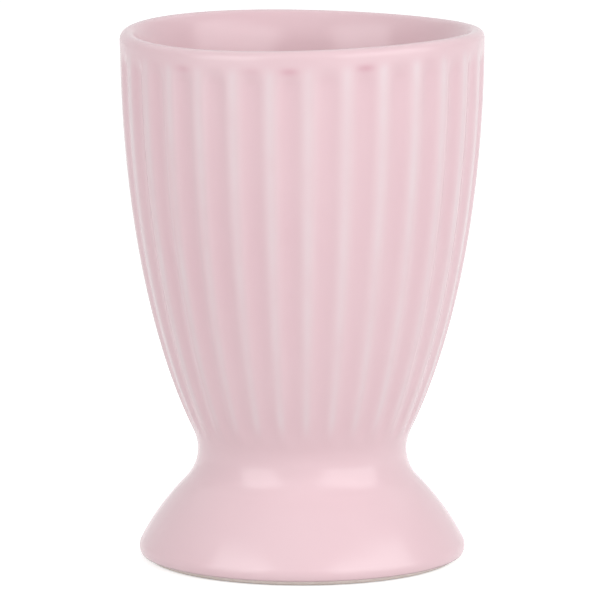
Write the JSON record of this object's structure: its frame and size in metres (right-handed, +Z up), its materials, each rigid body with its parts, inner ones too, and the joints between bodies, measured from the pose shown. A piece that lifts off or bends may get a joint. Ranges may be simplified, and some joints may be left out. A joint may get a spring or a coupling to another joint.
{
  "type": "egg cup",
  "caption": "Footed egg cup with an egg-shaped bowl, vertical flutes, a plain rim, a narrow waist and a flared hollow foot, in glossy glaze over bare clay.",
  "frame": {"origin": "centre of the standing ring on the table plane", "axes": "+Z up along the cup's axis, through the foot and the mouth"},
  "size_m": [0.05, 0.05, 0.0738],
  "materials": {
    "fired_clay": "bare fired stoneware, matt and faintly gritty, seen only on the standing ring",
    "pink_glaze": "glossy pale pink glaze, deeper in the flutes and paler where it breaks over the ridges"
  },
  "bodies": {
    "root": {"bowl_body": "fired_clay", "foot_body": "fired_clay", "glaze_coat": "pink_glaze", "well_glaze": "pink_glaze"}
  },
  "joints": []
}
